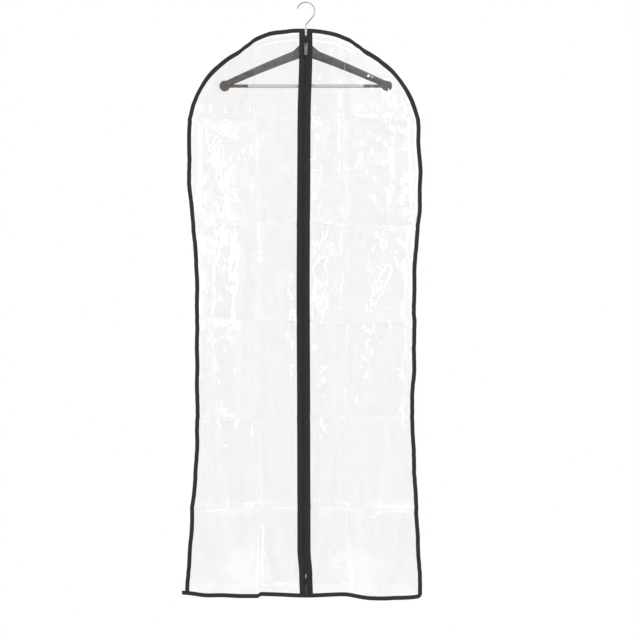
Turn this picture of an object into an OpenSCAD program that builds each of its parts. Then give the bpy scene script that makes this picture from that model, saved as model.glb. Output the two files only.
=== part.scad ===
// Hanging garment bag of clear film with a black bound edge and a full-length front zip,
// carried by the coat hanger inside it. Millimetres. The origin is where the hook sits on a rail,
// +Z is up, the zip faces -Y and +X is to the right of someone facing the zip.
// The bag is drawn as it hangs: the front film is straight along the zip and the back film bows out.

/* [Bag outline] */
// Drop from the rail to the top edge of the bag
bag_drop = 62; // [60:1:80]
// Length of the bag from its top edge to its bottom edge
bag_length = 1376; // [1100:10:1500]
// Half of the bag's width at the chest and at the bottom
chest_half = 285; // [275:1:310]
// How far each side draws in at the waist
waist_in = 17; // [0:1:30]
// Height of the shoulder arch
arch_height = 245; // [235:5:300]
// Power of the arch curve, where 2 is an ellipse
arch_power = 1.9; // [1.8:0.1:2.4]
// Radius of the lower right corner
corner_radius = 13; // [12:1:20]

/* [Film] */
// Thickness of the film
film_thick = 0.2; // [0.1:0.05:0.3]
// How far the front film stands forward along the zip
zip_stand = 7.7; // [7.7:0.1:10]
// Extra swell of the front film between the zip and each side
front_swell = 14; // [8:1:20]
// Swell of the back film
back_swell = 36; // [30:1:50]

/* [Edge binding] */
// Visible width of the folded binding
strip_width = 10; // [9:0.5:14]
// Thickness of the folded binding
strip_thick = 2.4; // [2.2:0.1:3]
// Gap between the two strips that the hook comes out of
hook_gap = 5; // [5:0.5:10]
// How far the bottom strip runs past the left edge
end_tab = 8; // [0:1:12]

/* [Zip] */
// Width of one zip tape
tape_width = 15.4; // [14:0.2:18]
// Thickness of the zip tape
tape_thick = 0.6; // [0.4:0.1:0.7]
// Width of one coil
coil_width = 2.7; // [2.2:0.1:3]
// Height of one coil
coil_high = 1.6; // [1.2:0.1:1.6]
// Space between the two coils that the slider's bridge runs in
coil_gap = 1.2; // [1.2:0.1:1.4]
// Length of the slider
slider_length = 13; // [11:0.5:14]
// Length of the puller below its pin
puller_length = 26; // [22:1:40]

/* [Hanger] */
// Radius of the hook's bow, to the middle of the wire
hook_radius = 21.5; // [20:0.5:24]
// Diameter of the hook's wire
wire = 3.2; // [3:0.1:3.4]
// Half of the hanger's span
hanger_half = 209; // [195:1:212]
// Thickness of the hanger from front to back
hanger_thick = 11; // [10:0.5:11.5]
// Diameter of the trouser bar
bar_diameter = 8; // [7:0.5:9]

/* [Hidden] */

top_z = -bag_drop;
bottom_z = top_z - bag_length;
spring_z = top_z - arch_height;
arch_steps = 40;
side_steps = 24;

// the film edges tuck into the fold of the binding
tuck_inset = strip_width - 4.5;
slot_inset = strip_width - 5;
slot_high = 1.5;
film_off = 0.35;

// heights along the zip
ramp_length = 21;
stop_z = top_z - strip_width - ramp_length;
slider_top_z = stop_z - 4;
chain_end_z = bottom_z + strip_width + 30;

// layers through the zip, from the film outwards
film_y = -film_off - zip_stand;
tape_back_y = film_y - film_thick / 2 - 0.3;
tape_front_y = tape_back_y - tape_thick;
coil_back_y = tape_front_y - 0.05;
coil_front_y = coil_back_y - coil_high;
tape_inner_x = coil_gap / 2;
tape_outer_x = tape_inner_x + tape_width;
film_inner_x = 10;

// slider
plate_back_y = tape_back_y + 0.25;
plate_front_y = coil_front_y - 0.25;
plate_thick = 1.4;
slider_half = 5.6;
pin_y = plate_front_y - plate_thick - 1.7;
pin_z = slider_top_z - 4.5;
pin_diameter = 1.6;

// hanger
yoke_top_z = top_z - 34;
boss_radius = 13;
bar_x = hanger_half - boss_radius;
bar_z = yoke_top_z - 105;
arm_drop = 84;
stem_bore = wire + 0.1;
head_z = yoke_top_z - 19;

function ramp(t) = let (c = max(0, min(1, t))) c * c * (3 - 2 * c);
function lerp(a, b, t) = a + (b - a) * t;
function backwards(list) = [for (i = [len(list) - 1:-1:0]) list[i]];
function flipped(list) = [for (p = list) [-p[0], p[1]]];

// half of the bag's width at height z: full at the chest, drawn in at the waist
function half_width(z) =
    let (s = max(0, min(1, (spring_z - z) / (spring_z - bottom_z))))
    chest_half - waist_in * pow(sin(180 * s), 1.3);

// the shoulder arch moved in by d, from x0 near the middle out to the side
function arch_path(d, x0) =
    let (a = chest_half - d, b = arch_height - d, q = 2 / arch_power)
    let (t0 = asin(pow(x0 / a, 1 / q)))
    [for (i = [0:arch_steps])
        let (t = lerp(t0, 90, i / arch_steps))
        [a * pow(sin(t), q), spring_z + b * pow(max(0, cos(t)), q)]];

// the right side moved in by d, from below the arch down to z_end
function side_path(d, z_end) =
    [for (i = [1:side_steps])
        let (z = lerp(spring_z, z_end, i / side_steps))
        [half_width(z) - d, z]];

// the rounded lower corner, running from the side round to the bottom edge
function corner_path(r) =
    [for (i = [1:8])
        let (a = -90 * i / 8)
        [chest_half - corner_radius + r * cos(a), bottom_z + corner_radius + r * sin(a)]];

// distance from a point of the film to the edge of the bag
function arch_distance(x, z) =
    let (px = abs(x), pz = z - spring_z)
    let (r = pow(pow(px / chest_half, arch_power) + pow(pz / arch_height, arch_power), 1 / arch_power))
    sqrt(px * px + pz * pz) * (1 / r - 1);
function edge_distance(x, z) =
    min(z > spring_z ? arch_distance(x, z) : half_width(z) - abs(x), z - bottom_z);

function front_y(x, z) =
    let (d = edge_distance(x, z) - strip_width)
    let (across = max(0, abs(x) - tape_outer_x) / (half_width(z) - tape_outer_x))
    -film_off - zip_stand * ramp(d / ramp_length)
    - front_swell * sin(180 * min(1, across)) * ramp(d / 150);
function back_y(x, z) =
    let (q = max(0, min(1, (edge_distance(x, z) - strip_width) / 230)))
    film_off + back_swell * (1 - (1 - q) * (1 - q));

// the film's grid: columns from the zip out to the side, rows from the arch down to the bottom
edge_insets = [tuck_inset, strip_width + 0.5, 18, 27, 36];
middle_columns = 10;
middle_rows = 21;
column_count = 2 + middle_columns + len(edge_insets);
row_count = middle_rows + 2 * len(edge_insets);

function column_x(k, z) =
    k < 0 ? 0
    : k == 0 ? film_inner_x
    : k == 1 ? tape_outer_x
    : k < 2 + middle_columns
        ? lerp(tape_outer_x, half_width(z) - edge_insets[4], (k - 1) / (middle_columns + 1))
    : half_width(z) - edge_insets[column_count - 1 - k];
function arch_row_z(x, d) =
    let (a = chest_half - d)
    x < a ? spring_z + (arch_height - d) * pow(1 - pow(x / a, arch_power), 1 / arch_power)
    : spring_z - (d - (chest_half - x));
function row_z(x, j) =
    j < len(edge_insets) ? arch_row_z(x, edge_insets[j])
    : j < row_count - len(edge_insets)
        ? lerp(arch_row_z(x, edge_insets[4]), bottom_z + edge_insets[4],
            (j - len(edge_insets) + 1) / (middle_rows + 1))
    : bottom_z + edge_insets[row_count - 1 - j];

// one grid point: column k counts from 1 at the zip, negative on the left side;
// column 0 is the middle of the back, cut down in a notch that the hook's stem runs through
function film_point(k, j, front, shift) =
    let (n = abs(k) - 1, side = k < 0 ? -1 : 1)
    let (high = row_z(column_x(n, spring_z), j))
    let (z = k == 0 ? min(high, top_z - strip_width - 5 - j) : high)
    let (x = side * column_x(n, z))
    [x, (front ? front_y(x, z) : back_y(x, z)) + shift, z];

// a closed sheet over the listed columns
module film(columns, front) {
    n = len(columns);
    m = row_count;
    points = concat(
        [for (k = columns) for (j = [0:m - 1]) film_point(k, j, front, -film_thick / 2)],
        [for (k = columns) for (j = [0:m - 1]) film_point(k, j, front, film_thick / 2)]
    );
    far = n * m;
    cells = [for (i = [0:n - 2]) for (j = [0:m - 2]) i * m + j];
    ends = concat(
        [for (j = [0:m - 2]) [j, j + 1]],
        [for (i = [0:n - 2]) [i * m + m - 1, (i + 1) * m + m - 1]],
        [for (j = [m - 2:-1:0]) [(n - 1) * m + j + 1, (n - 1) * m + j]],
        [for (i = [n - 2:-1:0]) [(i + 1) * m, i * m]]
    );
    faces = concat(
        [for (c = cells) [c, c + m, c + m + 1]],
        [for (c = cells) [c, c + m + 1, c + 1]],
        [for (c = cells) [far + c, far + c + m + 1, far + c + m]],
        [for (c = cells) [far + c, far + c + 1, far + c + m + 1]],
        [for (e = ends) [e[0], e[1], far + e[1]]],
        [for (e = ends) [e[0], far + e[1], far + e[0]]]
    );
    polyhedron(points, faces, convexity = 10);
}

// a flat outline drawn in X and Z, given a thickness in Y between y0 and y1
module upright(y0, y1) {
    translate([0, max(y0, y1), 0])
        rotate([90, 0, 0])
            linear_extrude(abs(y1 - y0))
                children();
}

// a profile drawn in Y and Z, run along X from x0 to x1
module across(x0, x1) {
    translate([min(x0, x1), 0, 0])
        rotate([90, 0, 90])
            linear_extrude(abs(x1 - x0))
                children();
}

// outline of the right strip between two distances from the edge
function right_ring(d0, d1, x0, left_x) = concat(
    arch_path(d0, x0),
    side_path(d0, bottom_z + corner_radius),
    corner_path(max(1, corner_radius - d0)),
    [[left_x, bottom_z + d0], [left_x, bottom_z + d1]],
    backwards(corner_path(max(1, corner_radius - d1))),
    backwards(side_path(d1, bottom_z + corner_radius)),
    backwards(arch_path(d1, x0))
);
function left_ring(d0, d1, x0, end_z) = flipped(concat(
    arch_path(d0, x0),
    side_path(d0, end_z),
    backwards(side_path(d1, end_z)),
    backwards(arch_path(d1, x0))
));

// the zip tape's height line and its profile in Y and Z
zip_line = concat(
    [for (i = [0:10]) lerp(top_z - strip_width - 0.8, stop_z, i / 10)],
    [for (i = [0:10]) lerp(bottom_z + strip_width + ramp_length, bottom_z + strip_width + 0.3, i / 10)]
);
function zip_profile(near, thick) = concat(
    [for (z = zip_line) [front_y(0, z) - near, z]],
    [for (z = backwards(zip_line)) [front_y(0, z) - near - thick, z]]
);

// ---- hanger ----

// a straight run of wire, 0.4 longer at each end so that it joins the bends
module wire_rod(a, b) {
    length = norm(b - a);
    translate(a)
        rotate([0, acos((b - a)[2] / length), atan2((b - a)[1], (b - a)[0])])
            translate([0, 0, -0.4])
                cylinder(h = length + 0.8, d = wire, $fn = 48);
}

module wire_arc(centre, radius, start, sweep) {
    translate(centre)
        rotate([90, 0, 0])
            rotate([0, 0, start])
                rotate_extrude(angle = sweep, $fn = 96)
                    translate([radius, 0])
                        circle(d = wire - 0.04, $fn = 48);
}

module hook() {
    bow = [0, 0, wire / 2 - hook_radius];
    lean = 40;
    bend = 6;
    leave = bow + hook_radius * [cos(lean), 0, -sin(lean)];
    join_x = bend * (1 - cos(lean));
    run = (leave[0] - join_x) / sin(lean);
    join = leave - run * [sin(lean), 0, cos(lean)];
    bend_centre = join + bend * [cos(lean), 0, -sin(lean)];
    color([0.8, 0.81, 0.83]) {
        wire_arc(bow, hook_radius, -lean, 160 + lean);
        translate(bow + hook_radius * [cos(160), 0, sin(160)])
            sphere(d = wire, $fn = 48);
        wire_rod(join, leave);
        wire_arc(bend_centre, bend, 180 - lean, lean);
        wire_rod([0, 0, head_z - 1], [0, 0, bend_centre[2]]);
        translate([0, 0, head_z - 2])
            cylinder(h = 2, d = 8, $fn = 64);
    }
}

function arm_fall(x) = arm_drop * pow(min(1, x / bar_x), 1.1);
function arm_top(x) = yoke_top_z - 10 * ramp((x - 10) / 24) - arm_fall(x);
function arm_under(x) = yoke_top_z - 10 - arm_fall(x) - lerp(24, 16, x / bar_x);

module yoke_outline() {
    steps = 40;
    top = [for (i = [-steps:steps]) [bar_x * i / steps, arm_top(abs(bar_x * i / steps))]];
    under = [for (i = [-steps:steps]) [bar_x * i / steps, arm_under(abs(bar_x * i / steps))]];
    polygon(concat(top, backwards(under)));
}

module hanger_yoke() {
    color([0.74, 0.55, 0.34])
        difference() {
            union() {
                upright(-hanger_thick / 2, hanger_thick / 2)
                    yoke_outline();
                for (side = [-1, 1])
                    translate([side * bar_x, hanger_thick / 2 + 0.5, bar_z])
                        rotate([90, 0, 0])
                            cylinder(h = hanger_thick + 1, r = boss_radius, $fn = 96);
            }
            translate([0, 0, head_z - 40])
                cylinder(h = 40.2, d = 8.6, $fn = 64);
            translate([0, 0, head_z])
                cylinder(h = 40, d = 6.2, $fn = 64);
            for (side = [0, 180])
                rotate([0, 0, side])
                    translate([0, 0, bar_z])
                        rotate([0, 90, 0]) {
                            translate([0, 0, bar_x - 30])
                                cylinder(h = 33, d = bar_diameter + 0.2, $fn = 64);
                            cylinder(h = hanger_half + 1, d = 3.2, $fn = 48);
                            translate([0, 0, hanger_half - 3])
                                cylinder(h = 4, d1 = 3.2, d2 = 8.8, $fn = 48);
                        }
        }
}

module neck_ferrule() {
    color([0.8, 0.81, 0.83])
        difference() {
            union() {
                translate([0, 0, yoke_top_z + 0.05])
                    cylinder(h = 1.5, d = 9, $fn = 64);
                translate([0, 0, head_z + 0.25])
                    cylinder(h = yoke_top_z - head_z, d = 6, $fn = 64);
            }
            translate([0, 0, head_z - 5])
                cylinder(h = 40, d = stem_bore, $fn = 64);
        }
}

module trouser_bar() {
    color([0.72, 0.52, 0.32])
        difference() {
            translate([-(bar_x + 2.8), 0, bar_z])
                rotate([0, 90, 0])
                    cylinder(h = 2 * (bar_x + 2.8), d = bar_diameter, $fn = 64);
            for (side = [0, 180])
                rotate([0, 0, side])
                    translate([bar_x - 12, 0, bar_z])
                        rotate([0, 90, 0])
                            cylinder(h = 20, d = 3, $fn = 48);
        }
}

module bar_grip_sleeve() {
    half = bar_x - 56;
    color([0.86, 0.88, 0.9, 0.6])
        translate([-half, 0, bar_z])
            rotate([0, 90, 0])
                difference() {
                    cylinder(h = 2 * half, d = bar_diameter + 1.7, $fn = 64);
                    translate([0, 0, -1])
                        cylinder(h = 2 * half + 2, d = bar_diameter + 0.2, $fn = 64);
                }
}

module bar_screws() {
    color([0.78, 0.78, 0.8])
        for (side = [0, 180])
            rotate([0, 0, side])
                translate([0, 0, bar_z])
                    rotate([0, 90, 0])
                        difference() {
                            union() {
                                translate([0, 0, bar_x - 10])
                                    cylinder(h = boss_radius + 8, d = 2.9, $fn = 48);
                                translate([0, 0, hanger_half - 2.6])
                                    cylinder(h = 2.2, d1 = 2.9, d2 = 6.4, $fn = 48);
                            }
                            translate([-0.5, -4, hanger_half - 1.2])
                                cube([1, 8, 3]);
                        }
}

// ---- bag ----

module back_panel() {
    columns = concat([for (k = [column_count:-1:1]) -k], [0], [for (k = [1:column_count]) k]);
    color([0.9, 0.91, 0.93, 0.5])
        film(columns, false);
}

module left_front_panel() {
    color([0.92, 0.93, 0.95, 0.5])
        film([for (k = [column_count:-1:1]) -k], true);
}

module right_front_panel() {
    color([0.92, 0.93, 0.95, 0.5])
        film([for (k = [1:column_count]) k], true);
}

module left_binding() {
    end_z = bottom_z + strip_width + 0.2;
    color([0.13, 0.13, 0.14])
        difference() {
            upright(-strip_thick / 2, strip_thick / 2)
                polygon(left_ring(0, strip_width, hook_gap / 2, end_z));
            upright(-slot_high / 2, slot_high / 2)
                polygon(left_ring(slot_inset, strip_width + 1, 6, end_z - 1));
        }
}

module right_binding() {
    color([0.13, 0.13, 0.14])
        difference() {
            upright(-strip_thick / 2, strip_thick / 2)
                polygon(right_ring(0, strip_width, hook_gap / 2, -chest_half - end_tab));
            upright(-slot_high / 2, slot_high / 2) {
                polygon(right_ring(slot_inset, strip_width + 1, 6, slot_inset - chest_half));
                translate([chest_half - corner_radius, bottom_z + slot_inset])
                    square([corner_radius - slot_inset, corner_radius - slot_inset]);
            }
        }
}

// a row of thread on both faces of the binding
module binding_thread(ring) {
    color([0.2, 0.2, 0.21]) {
        upright(-strip_thick / 2 - 0.28, -strip_thick / 2 - 0.03)
            polygon(ring);
        upright(strip_thick / 2 + 0.03, strip_thick / 2 + 0.28)
            polygon(ring);
    }
}

module left_binding_stitching() {
    binding_thread(left_ring(strip_width - 3.5, strip_width - 3, hook_gap / 2 + 1, bottom_z + strip_width + 1));
}

module right_binding_stitching() {
    binding_thread(right_ring(strip_width - 3.5, strip_width - 3, hook_gap / 2 + 1, -chest_half - end_tab + 1));
}

// ---- zip ----

// a tape, its top corner cut away round the hook's stem
module zip_tape(side) {
    color([0.1, 0.1, 0.11])
        difference() {
            across(side * tape_inner_x, side * tape_outer_x)
                polygon(zip_profile(film_thick / 2 + 0.3, tape_thick));
            translate([0, 0, top_z - 30])
                cylinder(h = 30, d = wire + 1, $fn = 64);
        }
}

module left_zip_tape() {
    zip_tape(-1);
}

module right_zip_tape() {
    zip_tape(1);
}

module zip_coil(side) {
    from_x = side > 0 ? tape_inner_x : -tape_inner_x - coil_width;
    color([0.07, 0.07, 0.08])
        translate([from_x, coil_front_y, chain_end_z])
            cube([coil_width, coil_high, slider_top_z - chain_end_z]);
}

module left_zip_coil() {
    zip_coil(-1);
}

module right_zip_coil() {
    zip_coil(1);
}

module zip_stitching(side) {
    color([0.2, 0.2, 0.21])
        for (x = [tape_outer_x - 6.4, tape_outer_x - 2])
            across(side * (x - 0.25), side * (x + 0.25))
                polygon(zip_profile(film_thick / 2 + 0.33 + tape_thick, 0.25));
}

module left_zip_stitching() {
    zip_stitching(-1);
}

module right_zip_stitching() {
    zip_stitching(1);
}

// one metal crimp per tape, folded round the tape's inner edge
module top_stops() {
    color([0.6, 0.6, 0.62])
        for (side = [0, 1])
            mirror([side, 0, 0])
                difference() {
                    translate([0.1, tape_front_y - 1.1, stop_z - 3.4])
                        cube([2.8, tape_thick + 2, 3]);
                    translate([0.5, tape_front_y - 0.1, stop_z - 4])
                        cube([4, tape_thick + 0.2, 5]);
                }
}

// one metal staple across both tapes below the coils
module bottom_stop() {
    color([0.6, 0.6, 0.62])
        difference() {
            translate([-4, coil_front_y - 0.2, chain_end_z - 4.3])
                cube([8, plate_back_y + 1 - coil_front_y, 4]);
            for (side = [0, 1])
                mirror([side, 0, 0])
                    translate([0.45, tape_front_y - 0.1, chain_end_z - 5])
                        cube([6, tape_thick + 0.2, 6]);
        }
}

module slider_body() {
    low_z = slider_top_z - slider_length;
    color([0.62, 0.62, 0.64]) {
        upright(plate_front_y - plate_thick, plate_front_y)
            slider_outline(slider_half);
        upright(plate_back_y, plate_back_y + 1.2)
            slider_outline(slider_half);
        upright(plate_front_y - 0.01, tape_front_y - 0.3)
            difference() {
                slider_outline(slider_half);
                translate([-slider_half + 1, low_z - 1])
                    square([2 * slider_half - 2, slider_length + 2]);
            }
        upright(plate_front_y - 0.01, plate_back_y + 0.01)
            polygon([[-0.45, slider_top_z], [0.45, slider_top_z], [0.45, slider_top_z - 3.4],
                [0, slider_top_z - 4.4], [-0.45, slider_top_z - 3.4]]);
    }
}

module slider_outline(half) {
    low_z = slider_top_z - slider_length;
    polygon([
        [-half + 1.6, slider_top_z], [half - 1.6, slider_top_z],
        [half, slider_top_z - 1.6], [half, slider_top_z - 5],
        [half - 0.7, slider_top_z - 7], [half - 0.7, low_z + 1],
        [half - 1.7, low_z], [-half + 1.7, low_z],
        [-half + 0.7, low_z + 1], [-half + 0.7, slider_top_z - 7],
        [-half, slider_top_z - 5], [-half, slider_top_z - 1.6]
    ]);
}

module slider_bail() {
    color([0.66, 0.66, 0.68])
        difference() {
            across(-0.9, 0.9) {
                translate([pin_y, pin_z])
                    circle(r = 1.9, $fn = 64);
                translate([pin_y, pin_z - 1.9])
                    square([plate_front_y - plate_thick + 0.3 - pin_y, 3.8]);
                translate([plate_front_y - plate_thick - 0.6, pin_z - 6])
                    square([0.9, 8.5]);
            }
            translate([-2, pin_y, pin_z])
                rotate([0, 90, 0])
                    cylinder(h = 4, d = pin_diameter + 0.1, $fn = 64);
        }
}

module puller() {
    color([0.68, 0.68, 0.7]) {
        translate([-2.7, pin_y, pin_z])
            rotate([0, 90, 0])
                cylinder(h = 5.4, d = pin_diameter, $fn = 64);
        upright(pin_y - 0.6, pin_y + 0.6)
            difference() {
                polygon([
                    [-2.7, pin_z + 0.4], [2.7, pin_z + 0.4], [2.7, pin_z - 6],
                    [3.2, pin_z - 9], [3.2, pin_z - puller_length + 2],
                    [1.8, pin_z - puller_length], [-1.8, pin_z - puller_length],
                    [-3.2, pin_z - puller_length + 2], [-3.2, pin_z - 9], [-2.7, pin_z - 6]
                ]);
                translate([-1.3, pin_z - 6.2])
                    square([2.6, 7]);
                translate([0, pin_z - puller_length + 4.5])
                    circle(d = 2.4, $fn = 48);
            }
    }
}

hook();
hanger_yoke();
neck_ferrule();
trouser_bar();
bar_grip_sleeve();
bar_screws();
back_panel();
left_front_panel();
right_front_panel();
left_binding();
right_binding();
left_binding_stitching();
right_binding_stitching();
left_zip_tape();
right_zip_tape();
left_zip_coil();
right_zip_coil();
left_zip_stitching();
right_zip_stitching();
top_stops();
bottom_stop();
slider_body();
slider_bail();
puller();
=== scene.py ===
# %% [markdown]
# # A hanging garment bag
# The bag is two layers of clear film with a black cloth edge, an arched shoulder and one long zip.
# A hanger inside it carries it on a rail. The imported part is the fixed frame, and every piece below
# is built in that frame: metres, Z up, the zip facing -Y, and the origin where the hook sits on its rail.

# %% Load the frame
import math
import random

import bmesh
import bpy
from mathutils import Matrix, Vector, noise


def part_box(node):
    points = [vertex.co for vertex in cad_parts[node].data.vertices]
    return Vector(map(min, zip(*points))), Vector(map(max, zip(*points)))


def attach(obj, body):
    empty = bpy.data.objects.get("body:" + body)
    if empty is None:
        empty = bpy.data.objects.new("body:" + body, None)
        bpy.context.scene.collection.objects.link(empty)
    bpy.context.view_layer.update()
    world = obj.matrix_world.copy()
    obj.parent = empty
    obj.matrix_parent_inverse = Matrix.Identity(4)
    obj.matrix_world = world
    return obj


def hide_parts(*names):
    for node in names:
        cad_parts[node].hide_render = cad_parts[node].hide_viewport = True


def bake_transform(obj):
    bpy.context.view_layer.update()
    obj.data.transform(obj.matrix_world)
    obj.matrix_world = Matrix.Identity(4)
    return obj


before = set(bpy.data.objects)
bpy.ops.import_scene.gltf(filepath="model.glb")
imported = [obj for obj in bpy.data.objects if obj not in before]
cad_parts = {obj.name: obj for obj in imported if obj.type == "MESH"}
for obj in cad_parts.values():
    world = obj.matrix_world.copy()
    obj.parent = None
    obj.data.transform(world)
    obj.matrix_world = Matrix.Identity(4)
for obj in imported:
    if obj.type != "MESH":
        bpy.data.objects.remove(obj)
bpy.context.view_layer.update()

# %% [markdown]
# ## Camera
# A bag on a rail is looked at straight on, from far enough away that its sides stay parallel.
# A long lens does that. The frame is a square of about 1.53 m at the bag.

# %% Camera
camera_data = bpy.data.cameras.new("camera")
camera_data.lens = 120
camera_data.sensor_width = 36
camera_data.clip_end = 50
camera = bpy.data.objects.new("camera", camera_data)
camera.location = (0.0270, -5.11, -0.7594)
camera.rotation_euler = (math.radians(90), 0, 0)
bpy.context.scene.collection.objects.link(camera)
bpy.context.scene.camera = camera

# %% [markdown]
# ## Studio
# A pale floor lies well below the bag. The world is white where the camera looks straight at it and
# a softer grey where the film mirrors it, so that the creases have something to show.
# Six soft boxes light the bag, and all but one of them show in the film as streaks.

# %% Floor, world and lights
scene = bpy.context.scene
scene.view_settings.view_transform = "Standard"
scene.view_settings.look = "None"
FLOOR_Z = -1.80

bpy.ops.object.select_all(action="DESELECT")
bpy.ops.mesh.primitive_plane_add(size=3.0, location=(0, 0, FLOOR_Z))
floor = bpy.context.object
floor.name = "floor"
floor_paint = bpy.data.materials.new("floor_paint")
floor_paint.use_nodes = True
floor_paint.node_tree.nodes["Principled BSDF"].inputs["Base Color"].default_value = (0.86, 0.86, 0.86, 1)
floor_paint.node_tree.nodes["Principled BSDF"].inputs["Roughness"].default_value = 0.9
floor.data.materials.append(floor_paint)

world = bpy.data.worlds.new("studio")
scene.world = world
world.use_nodes = True
wn = world.node_tree.nodes
wl = world.node_tree.links
wn.clear()
seen = wn.new("ShaderNodeBackground")
seen.inputs["Color"].default_value = (1, 1, 1, 1)
seen.inputs["Strength"].default_value = 1.0
lit = wn.new("ShaderNodeBackground")
lit.inputs["Strength"].default_value = 0.80
# bands of light and grey all round, so that a crease mirrors a line of grey
way = wn.new("ShaderNodeTexCoord")
bands = wn.new("ShaderNodeMapping")
bands.inputs["Scale"].default_value = (1.9, 0.6, 0.5)
streaks = wn.new("ShaderNodeTexNoise")
streaks.inputs["Scale"].default_value = 1.6
streaks.inputs["Detail"].default_value = 1.0
tone = wn.new("ShaderNodeValToRGB")
tone.color_ramp.elements[0].position = 0.40
tone.color_ramp.elements[0].color = (0.16, 0.165, 0.17, 1)
tone.color_ramp.elements[1].position = 0.60
tone.color_ramp.elements[1].color = (0.98, 0.99, 1.0, 1)
wl.new(way.outputs["Generated"], bands.inputs["Vector"])
wl.new(bands.outputs[0], streaks.inputs["Vector"])
wl.new(streaks.outputs["Fac"], tone.inputs[0])
wl.new(tone.outputs[0], lit.inputs["Color"])
rays = wn.new("ShaderNodeLightPath")
join = wn.new("ShaderNodeMixShader")
sky = wn.new("ShaderNodeOutputWorld")
wl.new(rays.outputs["Is Camera Ray"], join.inputs[0])
wl.new(lit.outputs[0], join.inputs[1])
wl.new(seen.outputs[0], join.inputs[2])
wl.new(join.outputs[0], sky.inputs["Surface"])

MIDDLE = Vector((0, 0, -0.75))


def soft_box(name, place, size, height, watts, mirrored=True):
    """A rectangular area light that faces the middle of the bag."""
    data = bpy.data.lights.new(name, "AREA")
    data.shape = "RECTANGLE"
    data.size = size
    data.size_y = height
    data.energy = watts
    light = bpy.data.objects.new(name, data)
    light.location = place
    light.rotation_euler = (MIDDLE - Vector(place)).to_track_quat("-Z", "Y").to_euler()
    light.visible_camera = False
    light.visible_glossy = mirrored
    scene.collection.objects.link(light)
    return light


soft_box("wide_left", (-2.2, -2.8, 0.5), 0.9, 1.8, 46, mirrored=False)
soft_box("wide_right", (2.3, -2.6, 0.1), 0.5, 1.8, 34)
soft_box("strip_left", (-1.75, -3.6, -0.2), 0.07, 1.5, 12)
soft_box("strip_right", (1.90, -3.4, 0.25), 0.09, 1.3, 16)
soft_box("top_front", (0.2, -2.4, 1.6), 1.6, 0.35, 26)
soft_box("back_fill", (0.6, 2.8, 0.4), 1.8, 1.8, 40)
print("studio ready")

# %% [markdown]
# ## Shader maths as expressions
# A material here is a short set of sums on noise. `Link` wraps a node's output so that the sums are
# written as Python, and `Paint` makes any node from its type, its settings and its socket values.

# %% Link and Paint


class Link:
    """A shader socket that can be added, multiplied and compared."""

    def __init__(self, paint, socket):
        self.paint = paint
        self.socket = socket

    def sum(self, operation, a, b=None, clamp=False):
        values = {0: a} if b is None else {0: a, 1: b}
        return self.paint.node("ShaderNodeMath", {"operation": operation, "use_clamp": clamp}, values)

    def __add__(self, other):
        return self.sum("ADD", self, other)

    def __radd__(self, other):
        return self.sum("ADD", other, self)

    def __sub__(self, other):
        return self.sum("SUBTRACT", self, other)

    def __rsub__(self, other):
        return self.sum("SUBTRACT", other, self)

    def __mul__(self, other):
        return self.sum("MULTIPLY", self, other)

    def __rmul__(self, other):
        return self.sum("MULTIPLY", other, self)

    def __truediv__(self, other):
        return self.sum("DIVIDE", self, other)

    def __pow__(self, other):
        return self.sum("POWER", self, other)

    def clamped(self):
        return self.sum("ADD", self, 0.0, clamp=True)

    def wave(self):
        return self.sum("SINE", self)

    def size(self):
        return self.sum("ABSOLUTE", self)


class Paint:
    """A material whose nodes are made by one method."""

    def __init__(self, name):
        self.material = bpy.data.materials.new(name)
        self.material.use_nodes = True
        self.tree = self.material.node_tree
        self.tree.nodes.clear()

    def node(self, kind, settings=None, values=None, out=0):
        made = self.tree.nodes.new(kind)
        for key, value in (settings or {}).items():
            if key == "stops":
                ramp = made.color_ramp
                while len(ramp.elements) < len(value):
                    ramp.elements.new(0.5)
                for element, (at, colour) in zip(ramp.elements, value):
                    element.position = at
                    element.color = colour
            else:
                setattr(made, key, value)
        for key, value in (values or {}).items():
            socket = made.inputs[key]
            if isinstance(value, Link):
                self.tree.links.new(value.socket, socket)
            else:
                socket.default_value = value
        return Link(self, made.outputs[out])

    def place(self, scale=(1, 1, 1), turn=(0, 0, 0), uv=False):
        source = self.node("ShaderNodeTexCoord", out="UV" if uv else "Object")
        return self.node("ShaderNodeMapping", {}, {"Vector": source, "Scale": scale, "Rotation": turn})

    def noise(self, where, scale, detail=3.0, rough=0.5, warp=0.0):
        return self.node("ShaderNodeTexNoise", {}, {"Vector": where, "Scale": scale, "Detail": detail,
                                                    "Roughness": rough, "Distortion": warp})

    def parts(self, where):
        split = self.node("ShaderNodeSeparateXYZ", {}, {0: where})
        outputs = split.socket.node.outputs
        return [Link(self, outputs[i]) for i in range(3)]

    def ramp(self, value, *stops):
        return self.node("ShaderNodeValToRGB", {"stops": stops}, {0: value})

    def mix(self, amount, a, b):
        return self.node("ShaderNodeMix", {"data_type": "RGBA"}, {0: amount, 6: a, 7: b}, out=2)

    def bump(self, height, strength, distance, under=None):
        values = {"Height": height, "Strength": strength, "Distance": distance}
        if under is not None:
            values["Normal"] = under
        return self.node("ShaderNodeBump", {}, values)

    def surface(self, values):
        return self.node("ShaderNodeBsdfPrincipled", {}, values)

    def done(self, shader):
        output = self.tree.nodes.new("ShaderNodeOutputMaterial")
        self.tree.links.new(shader.socket, output.inputs["Surface"])
        return self.material


def grey(v, a=1.0):
    return (v, v, v, a)


print("shader helpers ready")

# %% [markdown]
# ## The bag's outline
# The pattern piece is an arch over two long sides. The same sums as the part's own solids are used,
# so that the cloth edge, the film and the thread all lie on one line. `hang` then pushes every soft
# point a few millimetres the way a real bag hangs: the sides wander, the zip drifts to one side,
# the old packing folds leave small kinks, and the hem waves.

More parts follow.
